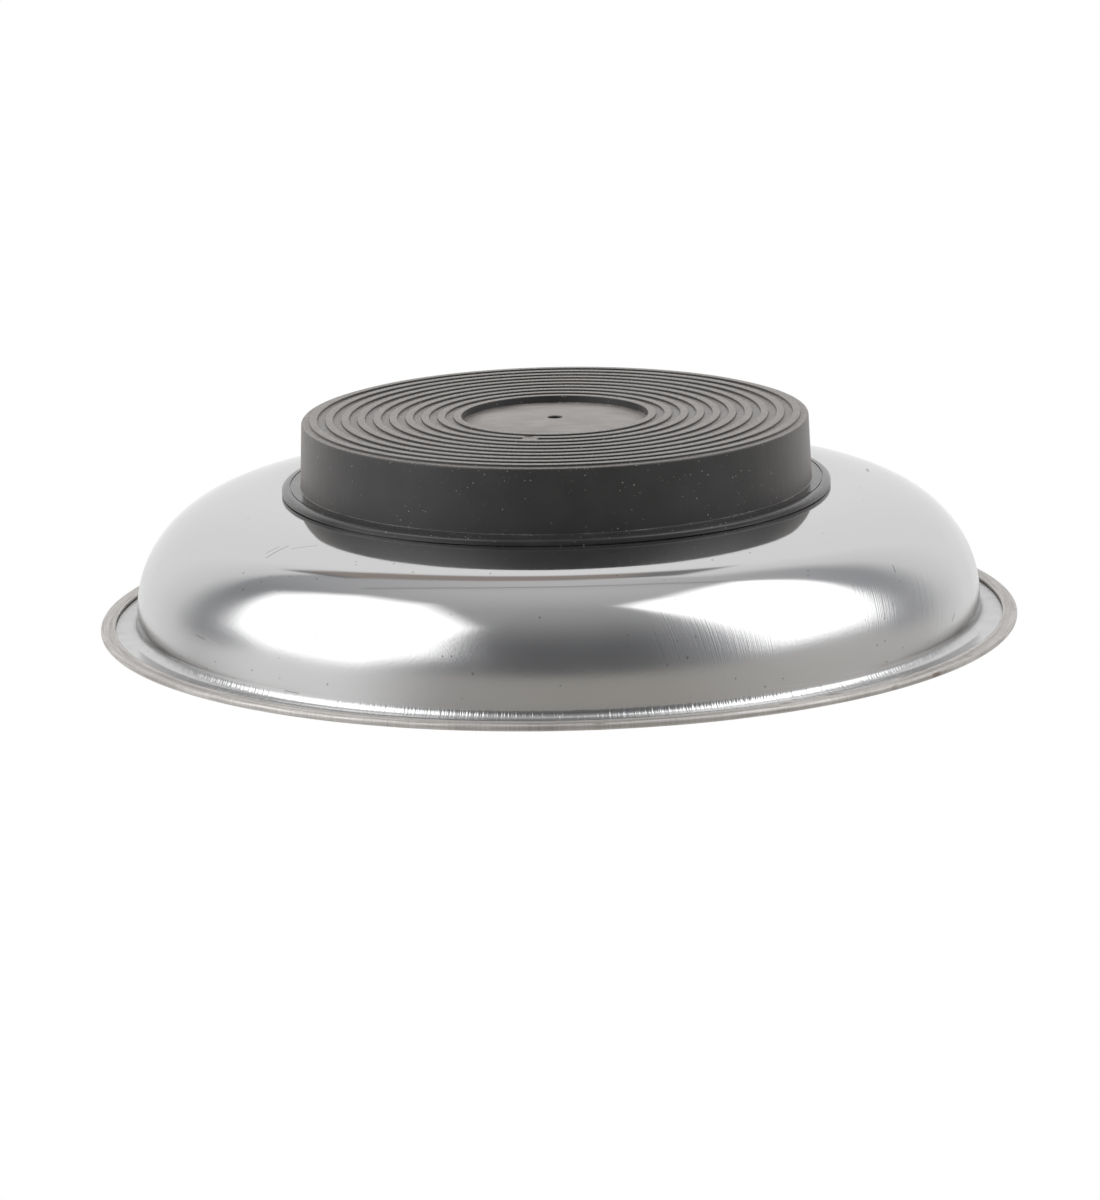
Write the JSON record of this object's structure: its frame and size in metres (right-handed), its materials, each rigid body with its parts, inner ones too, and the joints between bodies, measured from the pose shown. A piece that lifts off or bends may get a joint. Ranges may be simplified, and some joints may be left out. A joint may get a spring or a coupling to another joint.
{
  "type": "magnetic parts tray",
  "caption": "Round polished steel bowl with a folded rim and, under its base, a ring magnet in a ribbed rubber boot; holds loose metal parts and clings to steel. Shown turned over on its rim.",
  "frame": {"origin": "centre of the rim's plane, the surface that the tray stands on when it is turned over, as in the picture", "axes": "+Z along the axis of the bowl, from the rim up to the face of the rubber boot; +X to the right and +Y away from the picture's camera. A half turn about X gives the pose of use, boot down and bowl open upwards"},
  "size_m": [0.15, 0.15, 0.0342],
  "materials": {
    "polished_steel": "polished",
    "plate_steel": "satin",
    "ferrite": "matte",
    "zinc_steel": "satin",
    "black_rubber": "matte"
  },
  "bodies": {
    "root": {"bowl": "polished_steel", "backing_plate": "plate_steel", "ring_magnet": "ferrite", "keeper_plate": "plate_steel", "centre_screw": "zinc_steel", "flat_washer": "zinc_steel", "spring_washer": "zinc_steel", "hex_nut": "zinc_steel", "rubber_boot": "black_rubber"}
  },
  "joints": []
}
